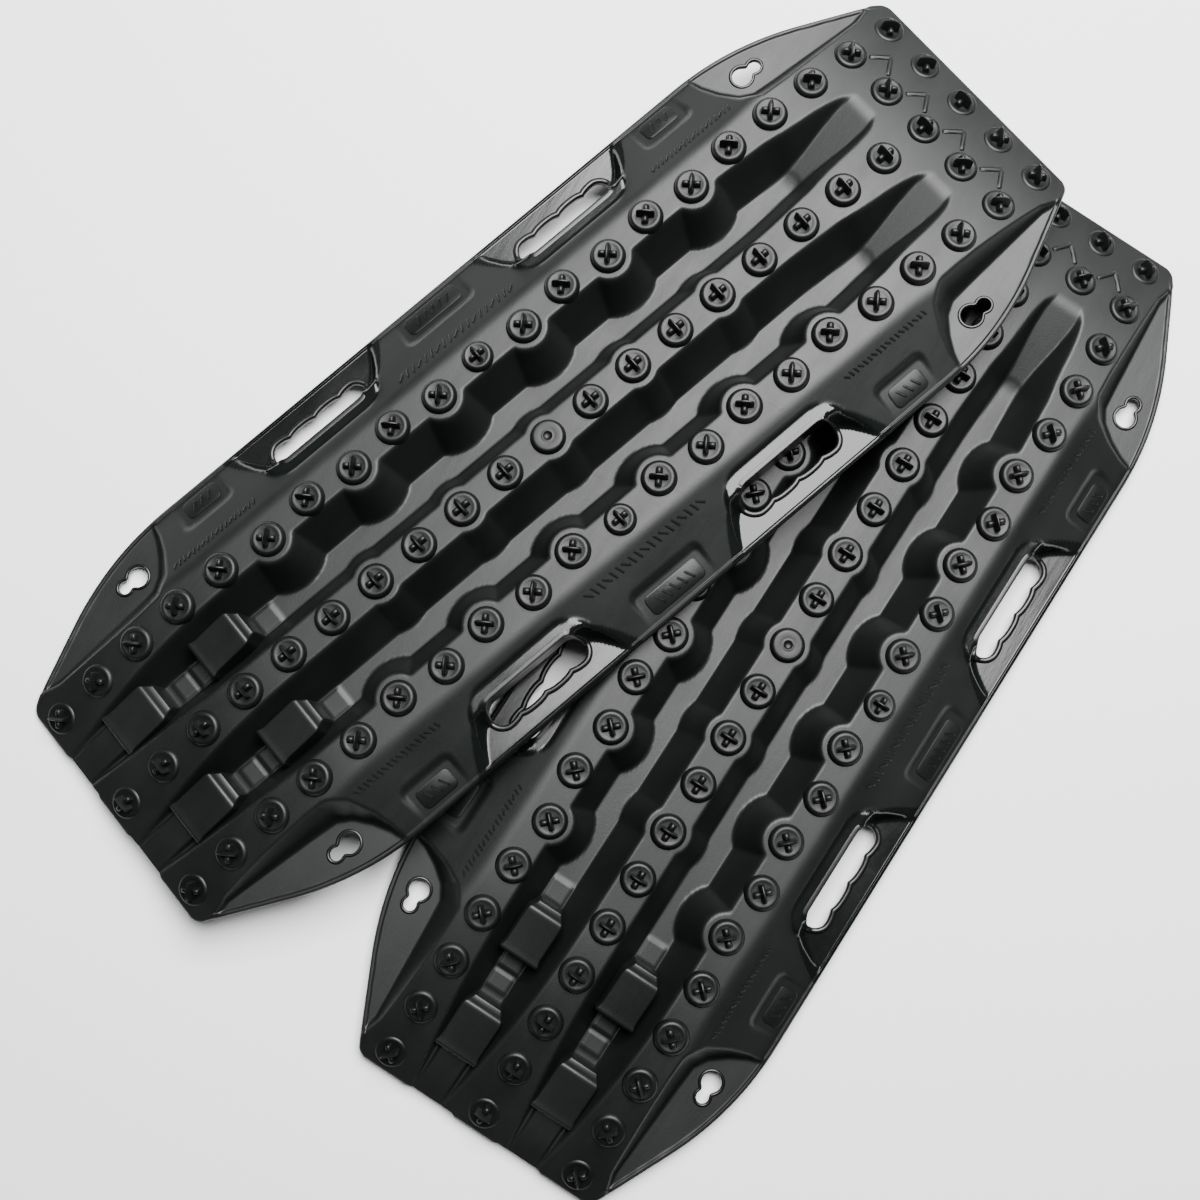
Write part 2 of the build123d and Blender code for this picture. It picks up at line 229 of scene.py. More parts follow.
def pocket_top(x, y):
    """The pockets in the flange: round the hand slots and keyholes, and under the plates."""
    level = np.zeros_like(x)
    grip = GRIP_Z + soft_max(plan_distance(GRIP, x - HANDLE_X, y) * 2.4, level, 2.0)
    key = KEY_Z + soft_max(plan_distance(KEY_POCKET, x, y) * 1.9, level, 1.6)
    out = soft_min(grip, key, 1.0)
    for place, half in PLATES[1:]:
        half_inner = half + 1.5 - RECESS_CORNER
        near, far = RECESS_Y + RECESS_CORNER, 220.0
        plan = [(place - half_inner, far), (place - half_inner, near),
                (place + half_inner, near), (place + half_inner, far)]
        away = plan_distance(plan, x, y) - RECESS_CORNER
        out = soft_min(out, recess_floor(y) + soft_max(away * 1.5, level, 1.2), 0.8)
    return out


def body_top(x, y):
    """The rails' tops and the flanges, before the channels and pockets are cut."""
    return soft_min(RAIL_TOP - ramp_drop(x), RAIL_TOP - (y - FLANGE_Y) * FLANGE_SLOPE, 2.6)


def top_surface(x, y):
    """Height of the board's top face."""
    y = np.abs(y)
    top = soft_min(body_top(x, y), trough(x, y), 3.4)
    on_shelf = smooth(-shelf_distance(np.abs(x) - HANDLE_X, y - HANDLE_Y) / 2.2 + 0.5)
    top = top + (SHELF_Z - SHELF_FALL * (y - SHELF_Y) - top) * on_shelf
    return soft_min(top, pocket_top(np.abs(x), y), 1.6)


def edge_finish(x, y, wide, lean):
    """The thin lip along the long edges, and the rounding of the outermost edge."""
    side = np.clip(wide - np.abs(y), 0, None) * lean
    end = np.clip(TIP_X - np.abs(x), 0, None)
    lip = LIP_RISE * smooth((LIP_REACH - side) / 0.9) * smooth((end - 6) / 20)
    past = np.clip(EDGE_R - np.minimum(side, end), 0, EDGE_R)
    return lip - (EDGE_R - np.sqrt(EDGE_R**2 - past**2))


# ---- holes -----------------------------------------------------------------------------------
def slot_distance(x, y):
    """A hand slot about its middle, +y to the board's edge, where three teeth part four lobes."""
    body = np.hypot(np.clip(np.abs(x) - SLOT_STRAIGHT, 0, None), y) - SLOT_R
    centre = np.where(np.abs(x) < FINGER, 0.5 * FINGER, 1.5 * FINGER)
    lobe = np.hypot(np.abs(x) - centre, y - LOBE_Y) - LOBE_R
    return soft_max(body, lobe, 1.2)


def key_distance(x, y):
    """A hanging keyhole about the middle of its big lobe, small lobe towards +x."""
    return soft_min(np.hypot(x, y) - KEY_R, np.hypot(x - KEY_STEP, y) - KEY_SMALL_R, 4.0)


def contour(distance, middle, step):
    """The outline where distance is 0, as evenly spaced points, anticlockwise."""
    angle = np.linspace(0, 2 * math.pi, 3600, endpoint=False)
    low, high = np.zeros_like(angle), np.full_like(angle, 80.0)
    for _ in range(40):
        mid = (low + high) / 2
        hit = distance(middle[0] + mid * np.cos(angle), middle[1] + mid * np.sin(angle)) < 0
        low, high = np.where(hit, mid, low), np.where(hit, high, mid)
    points = np.c_[middle[0] + low * np.cos(angle), middle[1] + low * np.sin(angle)]
    closed = np.vstack([points, points[:1]])
    along = np.r_[0, np.cumsum(np.hypot(*np.diff(closed, axis=0).T))]
    at = np.linspace(0, along[-1], int(along[-1] / step), endpoint=False)
    return np.c_[np.interp(at, along, closed[:, 0]), np.interp(at, along, closed[:, 1])]


SLOT = contour(slot_distance, (0.0, 0.0), 1.0)
KEYHOLE = contour(key_distance, (6.0, 0.0), 0.8)
CORNERS = [(end, side) for end in ENDS for side in SIDES]
HOLES = {                        # outlines on the board
    "slot": [SLOT * (1, side) + (end * HANDLE_X, side * HANDLE_Y) for end, side in CORNERS],
    "key": [KEYHOLE * (end, side) + (end * KEY_X, side * KEY_Y) for end, side in CORNERS],
}


# ---- the sheet's grid ------------------------------------------------------------------------
EDGE = np.array([0.0, 0.3, 0.8, 1.4, 2.2, 2.9, 3.4, 3.9, 4.4, 5.2, 6.4])     # lines near the edge
INNER_Y = SIDE_Y - EDGE[-1]
LINES = ((12, 2.0), (19, 1.4), (31, 1.7), (36, 1.25), (52, 2.0), (57, 1.25), (69, 1.7), (76, 1.4),
         (FLANGE_Y, 1.9), (INNER_Y, 1.7))    # up to this y, and about this far apart


def grid():
    """x and y of every grid point, and which lines part the track bed from the flanges."""
    inner = TIP_X - EDGE[-1]
    xs = np.linspace(-inner, inner, int(round(inner / GRID)) * 2 + 1)
    tip = TIP_X - EDGE[:-1]
    xs = np.r_[-tip, xs, tip[::-1]]
    right = [0.0]
    for stop, step in LINES:
        count = int(round((stop - right[-1]) / step))
        right += np.linspace(right[-1], stop, count + 1)[1:].tolist()
    right = np.r_[right, SIDE_Y - EDGE[-2::-1]]
    vs = np.r_[-right[:0:-1], right]
    x, v = np.meshgrid(xs, vs, indexing="ij")
    wide = half_width(x)
    away = np.abs(v)
    start = 90.0                 # lines further out than this follow the outline
    y = np.where(away > start, start + (away - start) * (wide - start) / (SIDE_Y - start), away)
    y = np.sign(v) * y
    dent = 2.2 * smooth((24 - np.abs(np.abs(y) - 40)) / 6)       # the tail's edge sits back here
    x = x + dent * smooth((-x - 424) / 20)
    seam = int(np.argmin(np.abs(vs + FLANGE_Y))), int(np.argmin(np.abs(vs - FLANGE_Y)))
    return x, y, wide, seam


def underside(x, y):
    """The top face moved down by the sheet's thickness, measured square to it."""
    step = 1.0
    gx = np.arange(-456, 456.1, step)
    gy = np.arange(0, 176.1, step)
    mx, my = np.meshgrid(gx, gy, indexing="ij")
    top = top_surface(mx, my)
    low = top - SHEET
    for i in range(-3, 4):
        for j in range(-3, 4):
            far = math.hypot(i, j) * step
            if 0 < far < SHEET:
                moved = top[np.clip(np.arange(len(gx)) + i, 0, len(gx) - 1)]
                moved = moved[:, np.abs(np.clip(np.arange(len(gy)) + j, None, len(gy) - 1))]
                low = np.minimum(low, moved - math.sqrt(SHEET**2 - far**2))
    fx = np.clip((x - gx[0]) / step, 0, len(gx) - 1.001)
    fy = np.clip(np.abs(y) / step, 0, len(gy) - 1.001)
    i, j = fx.astype(int), fy.astype(int)
    a, b = fx - i, fy - j
    return (low[i, j] * (1 - a) * (1 - b) + low[i + 1, j] * a * (1 - b)
            + low[i, j + 1] * (1 - a) * b + low[i + 1, j + 1] * a * b)


def vertex_normals(points, quads):
    """Normals of the grid points, from these faces only."""
    p = points[quads]
    n = np.cross(p[:, 2] - p[:, 0], p[:, 3] - p[:, 1])
    out = np.zeros_like(points)
    for k in range(quads.shape[1]):
        np.add.at(out, quads[:, k], n)
    return out / np.maximum(np.linalg.norm(out, axis=1), 1e-9)[:, None]


def cut_holes(x, y):
    """Which cells the holes open. Points that border those cells move on to the outlines."""
    outlines = HOLES["slot"] + HOLES["key"]
    inside = np.zeros(x.shape, bool)
    for outline in outlines:
        low, high = outline.min(0) - 3, outline.max(0) + 3
        i, j = np.nonzero((x > low[0]) & (x < high[0]) & (y > low[1]) & (y < high[1]))
        ring = [tuple(p) for p in outline]
        inside[i, j] |= plan_distance(ring, x[i, j], y[i, j]) < 0.35
    open_cell = inside[:-1, :-1] | inside[1:, :-1] | inside[:-1, 1:] | inside[1:, 1:]
    touching = np.zeros(x.shape, bool)
    for a in (slice(None, -1), slice(1, None)):
        for b in (slice(None, -1), slice(1, None)):
            touching[a, b] |= open_cell
    for i, j in np.argwhere(touching & ~inside):
        point = x[i, j], y[i, j]
        ring = min(outlines, key=lambda outline: np.abs(outline.mean(0) - point).sum())
        x[i, j], y[i, j] = ring[np.argmin(np.hypot(*(ring - point).T))]
    return open_cell


def fine_faces(tops, below):
    """A piece from these cells: top and bottom, and the walls along every free edge."""
    tops = tops.tolist()
    bottoms = [[a + below for a in face[::-1]] for face in tops]
    edges = {}
    for face in tops:
        for a, b in zip(face, face[1:] + face[:1]):
            if (b, a) in edges:
                del edges[b, a]
            else:
                edges[a, b] = True
    walls = [[b, a, a + below, b + below] for a, b in edges]
    return tops + bottoms, walls


def coarse_faces(tops, index, first, last, below):
    """The same for a piece without holes, with half as many lines across its bottom."""
    rows = index[::2]
    lows = np.stack([rows[:-1, first:last], rows[1:, first:last], rows[1:, first + 1:last + 1],
                     rows[:-1, first + 1:last + 1]], -1).reshape(-1, 4)
    bottoms = [[a + below for a in face[::-1]] for face in lows.tolist()]
    walls = []
    for j, turn in ((first, False), (last, True)):
        for i in range(0, len(index) - 2, 2):
            wall = [index[i, j], index[i, j] + below, index[i + 2, j] + below,
                    index[i + 2, j], index[i + 1, j]]
            walls.append(wall[::-1] if turn else wall)
    for i, turn in ((0, True), (-1, False)):
        for j in range(first, last):
            wall = [index[i, j], index[i, j] + below, index[i, j + 1] + below, index[i, j + 1]]
            walls.append(wall[::-1] if turn else wall)
    return tops.tolist() + bottoms, walls


def flat_normal(points, face):
    a, b, c = points[face[:3]]
    n = np.cross(b - a, c - a)
    return (n / max(np.linalg.norm(n), 1e-9)).tolist()


def build_sheet():
    """The moulded sheet as three pieces that meet without a seam.

    Gives {name: (verts, faces, normals of the faces' corners, gloss of the verts)}."""
    x, y, wide, seam = grid()
    lean = np.cos(np.arctan(np.gradient(half_width(x[:, 0]), x[:, 0])))[:, None]
    solid = ~cut_holes(x, y)
    top = top_surface(x, y) + edge_finish(x, y, wide, lean)
    side = np.clip(wide - np.abs(y), 0, None) * lean
    bottom_round = np.clip(1.0 - np.minimum(side, TIP_X - np.abs(x)), 0, 1)
    low = underside(x, y) + 0.9 * (1 - np.sqrt(1 - bottom_round**2))
    low = np.minimum(low, top - 1.2)
    index = np.arange(x.size).reshape(x.shape)
    quads = np.stack([index[:-1, :-1], index[1:, :-1], index[1:, 1:], index[:-1, 1:]], -1)
    upper = np.c_[x.ravel(), y.ravel(), top.ravel()]
    lower = np.c_[x.ravel(), y.ravel(), low.ravel()]
    points = np.vstack([upper, lower])
    normals = np.vstack([vertex_normals(upper, quads[solid]), -vertex_normals(lower, quads[solid])])
    ax, ay = np.abs(x), np.abs(y)
    shiny = np.minimum(plan_distance(GRIP, ax - HANDLE_X, ay) - 8,
                       shelf_distance(ax - HANDLE_X, ay - HANDLE_Y))
    gloss = np.tile((smooth(1 - shiny / 1.5) * (ay > 106)).ravel(), 2)
    last_line = x.shape[1] - 1
    ranges = {"right_flange": (0, seam[0]), "track_bed": seam, "left_flange": (seam[1], last_line)}
    made = {}
    for name, (first, last) in ranges.items():
        tops = quads[:, first:last][solid[:, first:last]]
        if name == "track_bed":
            skins, walls = coarse_faces(tops, index, first, last, x.size)
        else:
            skins, walls = fine_faces(tops, x.size)
        loops = [normal for face in skins for normal in normals[face].tolist()]
        for face in walls:
            loops += [flat_normal(points, face)] * len(face)
        used = np.unique(np.concatenate([np.asarray(face) for face in skins + walls]))
        renumber = np.full(len(points), -1)
        renumber[used] = np.arange(len(used))
        faces = [renumber[face].tolist() for face in skins + walls]
        made[name] = (points[used], faces, loops, gloss[used])
    return made


# ---- studs and other raised parts ------------------------------------------------------------
def revolve(profile, count=36):
    """A closed turned shape: the profile's first and last points lie on the axis."""
    verts, faces = [(0, 0, profile[0][1])], []
    for r, z in profile[1:-1]:
        for k in range(count):
            a = 2 * math.pi * k / count
            verts.append((r * math.cos(a), r * math.sin(a), z))
    verts.append((0, 0, profile[-1][1]))
    rings = len(profile) - 2
    last = len(verts) - 1
    for k in range(count):
        n = (k + 1) % count
        faces.append([0, 1 + n, 1 + k])
        for ring in range(rings - 1):
            a, b = 1 + ring * count, 1 + (ring + 1) * count
            faces.append([a + k, a + n, b + n, b + k])
        a = 1 + (rings - 1) * count
        faces.append([a + k, a + n, last])
    return np.array(verts, float), faces


def loft(stations):
    """Skins rings of equal length, and closes both ends."""
    count = len(stations[0])
    verts = np.vstack([np.asarray(s, float) for s in stations])
    faces = []
    for s in range(len(stations) - 1):
        for k in range(count):
            n = (k + 1) % count
            faces.append([s * count + k, s * count + n, (s + 1) * count + n, (s + 1) * count + k])
    faces.append(list(range(count))[::-1])
    faces.append([(len(stations) - 1) * count + k for k in range(count)])
    return verts, faces


BAR_ENDS = {0.93: (0.25, 0.93), 1.0: (0.9, 0.72)}    # near a bar's ends: lower by, and narrowed to


def bar(length, thick, height, crown, taper, sink=1.0):
    """An upright rib along x with an arched, rounded ridge."""
    stations = []
    for s in (-1.0, -0.93, -0.8, -0.55, -0.25, 0.0, 0.25, 0.55, 0.8, 0.93, 1.0):
        x = s * length / 2
        lower, narrow = BAR_ENDS.get(abs(s), (0.0, 1.0))
        full = height * (1 - crown * s * s) - lower
        base = thick / 2 * narrow
        tip = base * taper
        ring = [(x, -base, -sink), (x, base, -sink), (x, (base + tip) / 2, full * 0.55),
                (x, tip, full - 0.55), (x, tip * 0.55, full), (x, -tip * 0.55, full),
                (x, -tip, full - 0.55), (x, -(base + tip) / 2, full * 0.55)]
        stations.append(ring)
    return loft(stations)


def merged(parts):
    """Several (verts, faces) in one."""
    verts, faces, start = [], [], 0
    for v, f in parts:
        verts.append(v)
        faces += [[k + start for k in face] for face in f]
        start += len(v)
    return np.vstack(verts), faces


def turned(part, angle, at=(0, 0, 0)):
    """The part turned about the vertical, in degrees, and moved."""
    v, f = part
    c, s = math.cos(math.radians(angle)), math.sin(math.radians(angle))
    v = np.c_[v[:, 0] * c - v[:, 1] * s, v[:, 0] * s + v[:, 1] * c, v[:, 2]]
    return v + np.array(at, float), f


DISC_FOOT = -7.0
DISC = ((0, DISC_FOOT), (14.7, DISC_FOOT), (14.4, -5.5), (14.15, -4.6), (13.7, -3.0), (13.0, -1.6),
        (12.1, -0.6), (11.2, -0.12), (10.4, 0.0), (9.4, -0.1), (8.4, -0.32), (7.4, -0.45), (0, -0.5))
BLADE = {"length": 14.6, "thick": 5.2, "height": 9.4, "crown": 0.22, "taper": 0.26}
STUB = {"length": 5.8, "thick": 6.2, "height": 5.1, "crown": 0.2, "taper": 0.5}
STUB_OUT = 4.6                   # from the stud's middle to a stub's


def rail_z(x):
    """Height of the rails at one place along the board."""
    return RAIL_TOP - float(ramp_drop(np.array([float(x)]))[0])


def stud(x, y, turn, size=1.0):
    """A rounded disc that carries an arched blade crossed by two low stubs, square to the rail."""
    stub = bar(**STUB)
    cross = merged([turned(bar(**BLADE), 90), turned(stub, 0, (STUB_OUT, 0, 0)),
                    turned(stub, 180, (-STUB_OUT, 0, 0))])
    v, f = merged([revolve(DISC), turned(cross, turn, (0, 0, -0.45))])
    v[:, :2] *= size
    foot = v[:, 2] < DISC_FOOT + 0.1
    lean = math.copysign(math.asin(max(abs(x) - RAMP_X, 0) / RAMP_R), x)
    c, s = math.cos(lean), math.sin(lean)
    v[:, 2] += DISC_RISE - STUD_SINK.get(round(abs(x) / PITCH), 0.0)
    v = np.c_[v[:, 0] * c + v[:, 2] * s + x, v[:, 1] + y, v[:, 2] * c - v[:, 0] * s + rail_z(x)]
    v[foot, 2] = top_surface(v[foot, 0], v[foot, 1]) - ROOT
    return v, f


def stud_row(y, turns):
    """One rail's studs: the outer rails' middle one is small, the centre rail's is the button."""
    made = []
    for row in range(-ROWS, ROWS + 1):
        if row == 0 and y == 0:
            continue
        shift = BOSS_SHIFT if y and row % 2 and abs(row) <= LAST_OUTER_BOSS else 0.0
        size = 0.9 if row == 0 else 1.0
        made.append(stud(row * PITCH, y - math.copysign(shift, y), turns(row), size))
    return merged(made)


def gate_button():
    """The plain round button at the board's middle, with a dimple."""
    profile = ((0, DISC_FOOT), (14.4, DISC_FOOT), (14.2, -5.2), (13.6, -4.2), (13.1, -2.4),
               (12.5, -0.9), (11.4, -0.15), (10.0, 0.0), (6.0, -0.1), (4.6, -0.3), (4.1, -0.1),
               (3.5, -0.2), (3.0, -1.0), (1.6, -1.7), (0, -1.9))
    v, f = revolve(profile, 48)
    return v + (0, 0, RAIL_TOP + DISC_RISE), f


def block_ring(x, half, top, foot, corner):
    """One cross-section of a wedge block: sides leaning in a little, top corners rounded."""
    ring = [(x, -half - 0.8, foot), (x, half + 0.8, foot), (x, half, top - corner)]
    for middle, angles in ((half - corner, (22.5, 45, 67.5, 90)),
                           (corner - half, (90, 112.5, 135, 157.5, 180))):
        for t in np.radians(angles):
            ring.append((x, middle + corner * math.cos(t), top - corner + corner * math.sin(t)))
    return ring


WEDGE_FALL = 8.5                 # from a block's crest to its lip
WEDGE_CREST = 8.5                # from its front to its crest
WEDGE_FOOT = 2.2
WEDGES = ((-268.5, -316.0, 15.6), (-355.5, -404.0, 17.4))    # front, back, half width


def wedge_block(front, back, half, high):
    """Bevelled crest with cut corners at the nose side, long fall to a thin lip at the tail side."""
    low = high - WEDGE_FALL
    crest = front - WEDGE_CREST
    # Each cross-section has its x, half width and height: lip, slope, crest, cut corners, front.
    rows = [(back - 0.4, half + 0.8, low - 1.6), (back + 0.3, half + 1.3, low - 0.3),
            (back + 1.4, half + 1.5, low + 0.5), (back + 2.8, half + 1.3, low + 0.8),
            (back + 4.2, half + 0.5, low + 0.1 * WEDGE_FALL + 0.1)]
    for t, inset, rise in ((0.2, 0, 0), (0.5, 0, 0), (0.8, 0, 0.1), (0.93, 0.1, 0.2)):
        rows.append((back + (crest - back) * t, half - inset, low + WEDGE_FALL * t + rise))
    rows += [(crest - 0.9, half - 0.4, high), (crest + 0.5, half - 0.9, high - 0.1),
             (crest + 1.7, half - 1.9, high - 0.9), (crest + 2.6, half - 2.6, high - 2.4),
             (front - 2.6, half - 4.6, high - 5.6), (front - 1.6, half - 5.0, high - 5.8),
             (front - 0.5, half - 6.0, high - 9.0), (front, half - 6.4, high - 11.0),
             (front + 0.6, half - 6.6, WEDGE_FOOT + 0.8)]
    lowest = WEDGE_FOOT + 2.4
    return loft([block_ring(x, wide, max(top, lowest), WEDGE_FOOT, 1.5) for x, wide, top in rows])


def wedge_blocks():
    """The four sloping blocks in the tail's channels."""
    made = []
    for side in SIDES:
        for front, back, half in WEDGES:
            v, f = wedge_block(front, back, half, rail_z(front - WEDGE_CREST) - 1.5)
            made.append((v + (0, side * CHANNEL_Y, 0), f))
    return merged(made)


def area(outline):
    """Signed area of an outline, positive when it runs anticlockwise."""
    x, y = outline.T
    return 0.5 * float(np.sum(x * np.roll(y, -1) - y * np.roll(x, -1)))


def swept(outline, profile, level, swell):
    """A closed tube round a hole. Each profile point has its distance away from the hole's edge, its
    height over level, which swell scales above 0, and a fixed height that stands instead if not 0."""
    along = np.roll(outline, -2, 0) - np.roll(outline, 2, 0)
    along /= np.linalg.norm(along, axis=1)[:, None]
    out = np.c_[along[:, 1], -along[:, 0]]
    if ((outline - outline.mean(0)) * out).sum() < 0:
        out = -out
    count, size = len(outline), len(profile)
    verts = np.zeros((count, size, 3))
    for k, (away, height, pinned) in enumerate(profile):
        verts[:, k, :2] = outline + out * away
        verts[:, k, 2] = pinned if pinned else level + height * (swell if height > 0 else 1.0)
    faces = []
    for i in range(count):
        n = (i + 1) % count
        for k in range(size):
            m = (k + 1) % size
            faces.append([i * size + k, n * size + k, n * size + m, i * size + m])
    if area(outline) > 0:
        faces = [f[::-1] for f in faces]
    return verts.reshape(-1, 3), faces


# The rims' profiles: away from the hole's edge, height over the top face, fixed height.
SLOT_RIM = ((0.4, 0, 9.4), (-0.5, 0, 9.8), (-0.75, -1.0, 0), (-0.7, 0.5, 0), (-0.25, 1.6, 0),
            (0.7, 2.2, 0), (1.9, 2.3, 0), (3.0, 1.9, 0), (3.8, 1.0, 0), (4.2, -0.2, 0), (4.1, -1.2, 0),
            (1.4, -3.0, 0))
KEY_RIM = ((0.2, -3.3, 0), (-0.35, -2.8, 0), (-0.5, -0.4, 0), (-0.3, 0.5, 0), (0.25, 0.95, 0),
           (1.0, 1.0, 0), (1.7, 0.7, 0), (2.2, 0.0, 0), (2.3, -0.6, 0), (1.5, -3.0, 0))


def hole_rims(kind, profile):
    """Rims that follow the top face round the holes; on a slot's straight side the bead dies away."""
    made = []
    for outline in HOLES[kind]:
        level = top_surface(outline[:, 0], outline[:, 1])
        level = sum(np.roll(level, n) for n in range(-3, 4)) / 7
        swell = np.ones_like(level)
        if kind == "slot":
            swell = 0.15 + 0.85 * smooth((np.abs(outline[:, 1]) - HANDLE_Y + 9) / 7)
        made.append(swept(outline, profile, level, swell))
    return merged(made)


def plate(x, y, half_x, half_y, rise, corner, bevel):
    """A raised plate with round corners and a bevelled edge."""
    rings = []
    for inset, height in ((0.0, -1.5), (0.0, rise - bevel), (bevel * 0.3, rise - bevel * 0.3),
                          (bevel, rise)):
        r = corner - inset
        ring = []
        for cx, cy, start in ((1, 1, 0), (-1, 1, 90), (-1, -1, 180), (1, -1, 270)):
            for t in np.radians((start, start + 22.5, start + 45, start + 67.5, start + 90)):
                ring.append((x + cx * (half_x - corner) + r * math.cos(t),
                             y + cy * (half_y - corner) + r * math.sin(t), height))
        rings.append(ring)
    return loft(rings)


def side_badges():
    """Plain plates with slanted ribs, in the flanges' recesses."""
    made = []
    for side in SIDES:
        for place, half in PLATES:
            y = side * PLATE_Y
            parts = [plate(place, y, half - PLATE_GAP, PLATE_HALF, PLATE_RISE, corner=4.5, bevel=0.7)]
            for k in range(-2, 3) if place == 0 else range(-1, 2):
                rib = bar(9.5, 2.2, 1.0, crown=0.1, taper=0.7, sink=0.4)
                parts.append(turned(rib, 62 * side, (place + k * 7.4, y, PLATE_RISE - 0.1)))
            v, f = merged(parts)
            v[:, 2] += recess_floor(v[:, 1])
            made.append((v, f))
    return merged(made)


RIB_Y = 114.5
# Each row of ribs: first x, count, length of a rib and spacing.
RIB_ROWS = ((204.0, 18, 5.6, 4.6), (-284.0, 18, 5.6, 4.6), (-56.0, 19, 8.2, 6.2))


def flange_ribs():
    """Rows of fine slanted ribs beside the outer rails."""
    made = []
    for side in SIDES:
        for start, count, length, spacing in RIB_ROWS:
            for k in range(count):
                rib = bar(length, 2.0, 0.8, crown=0.1, taper=0.7, sink=0.8)
                lean = 68 if k % 3 else 40
                v, f = turned(rib, lean * side, (start + k * spacing, side * RIB_Y, 0))
                v[:, 2] += top_surface(v[:, 0], v[:, 1])
                made.append((v, f))
    return merged(made)


ARROW_X = 412.0                  # the arrows' points


def nose_chevrons():
    """Plain raised arrows between the nose's studs."""
    made = []
    for y in (-1.5, -0.5, 0.5, 1.5):
        for turn in (38, -38):
            v, f = bar(19.0, 4.6, 1.7, crown=0.1, taper=0.6)
            v, f = turned((v + (-8.5, 0, 0), f), turn, (ARROW_X, y * PITCH, 0))
            v[:, 2] += RAIL_TOP - ramp_drop(v[:, 0])
            made.append((v, f))
    return merged(made)


# ---- materials -------------------------------------------------------------------------------
POLISH = 0.27                    # how much lower the roughness is where the mould was polished
POLISH_GRAIN = 0.9               # and the share of the grain that is gone there


def nylon(name, colour, rough, grain, level, gloss=None):
    """Moulded black plastic: fine grain, faint flow marks, and gloss that varies over the surface.

    gloss names the mesh attribute that is 1 where the mould was polished."""
    material = bpy.data.materials.new(name)
    material.use_nodes = True
    nodes, links = material.node_tree.nodes, material.node_tree.links
    shader = nodes["Principled BSDF"]
    shader.inputs["Specular IOR Level"].default_value = level
    shader.inputs["IOR"].default_value = 1.53
    place = nodes.new("ShaderNodeTexCoord")

    def noise(scale, detail, roughness=0.55, stretch=None):
        node = nodes.new("ShaderNodeTexNoise")
        node.inputs["Scale"].default_value = scale
        node.inputs["Detail"].default_value = detail
        node.inputs["Roughness"].default_value = roughness
        source = place.outputs["Object"]
        if stretch:
            mapping = nodes.new("ShaderNodeMapping")
            mapping.inputs["Scale"].default_value = stretch
            links.new(source, mapping.inputs["Vector"])
            source = mapping.outputs["Vector"]
        links.new(source, node.inputs["Vector"])
        return node.outputs["Fac"]

    def ramp(source, low, high, to_low, to_high):
        node = nodes.new("ShaderNodeMapRange")
        ends = {"From Min": low, "From Max": high, "To Min": to_low, "To Max": to_high}
        for key, end in ends.items():
            node.inputs[key].default_value = end
        links.new(source, node.inputs["Value"])
        return node.outputs["Result"]

    def combine(kind, a, b):
        node = nodes.new("ShaderNodeMath")
        node.operation = kind
        for k, source in enumerate((a, b)):
            if isinstance(source, (int, float)):
                node.inputs[k].default_value = source
            else:
                links.new(source, node.inputs[k])
        return node.outputs[0]

    cloudy = noise(14.0, 4.0)
    flow = noise(30.0, 5.0, 0.6, (0.35, 1.6, 1.0))
    speck = noise(900.0, 2.0)
    scuff = noise(220.0, 6.0, 0.7, (1.0, 0.12, 1.0))
    mix = nodes.new("ShaderNodeMix")
    mix.data_type = "RGBA"
    mix.inputs["A"].default_value = (*[c * 0.86 for c in colour], 1)
    mix.inputs["B"].default_value = (*[c * 1.22 for c in colour], 1)
    links.new(ramp(combine("ADD", cloudy, speck), 0.75, 1.25, 0.0, 1.0), mix.inputs["Factor"])
    links.new(mix.outputs["Result"], shader.inputs["Base Color"])
    value = combine("ADD", ramp(cloudy, 0.3, 0.7, rough - 0.035, rough + 0.035),
                    ramp(flow, 0.35, 0.7, -0.03, 0.03))
    value = combine("ADD", value, ramp(scuff, 0.62, 0.8, 0.0, 0.07))
    value = combine("ADD", value, ramp(speck, 0.3, 0.7, -0.02, 0.02))
    fine, soft = nodes.new("ShaderNodeBump"), nodes.new("ShaderNodeBump")
    fine.inputs["Strength"].default_value = grain
    if gloss:
        mask = nodes.new("ShaderNodeAttribute")
        mask.attribute_name = gloss
        value = combine("SUBTRACT", value, combine("MULTIPLY", mask.outputs["Fac"], POLISH))
        worn = combine("MULTIPLY", mask.outputs["Fac"], grain * POLISH_GRAIN)
        links.new(combine("SUBTRACT", grain, worn), fine.inputs["Strength"])
    links.new(value, shader.inputs["Roughness"])
    fine.inputs["Distance"].default_value = 0.00012
    soft.inputs["Strength"].default_value = 0.35
    soft.inputs["Distance"].default_value = 0.0006
    links.new(speck, fine.inputs["Height"])
    links.new(flow, soft.inputs["Height"])
    links.new(soft.outputs["Normal"], fine.inputs["Normal"])
    links.new(fine.outputs["Normal"], shader.inputs["Normal"])
    return material


BLACK = nylon("moulded_nylon", (0.0030, 0.0040, 0.0035), rough=0.46, grain=0.5, level=0.36,
              gloss="gloss")
STUD = nylon("stud_nylon_satin", (0.0026, 0.0033, 0.0029), rough=0.42, grain=0.35, level=0.28)
POLISHED = nylon("rim_nylon_gloss", (0.0026, 0.0033, 0.0029), rough=0.32, grain=0.15, level=0.42)


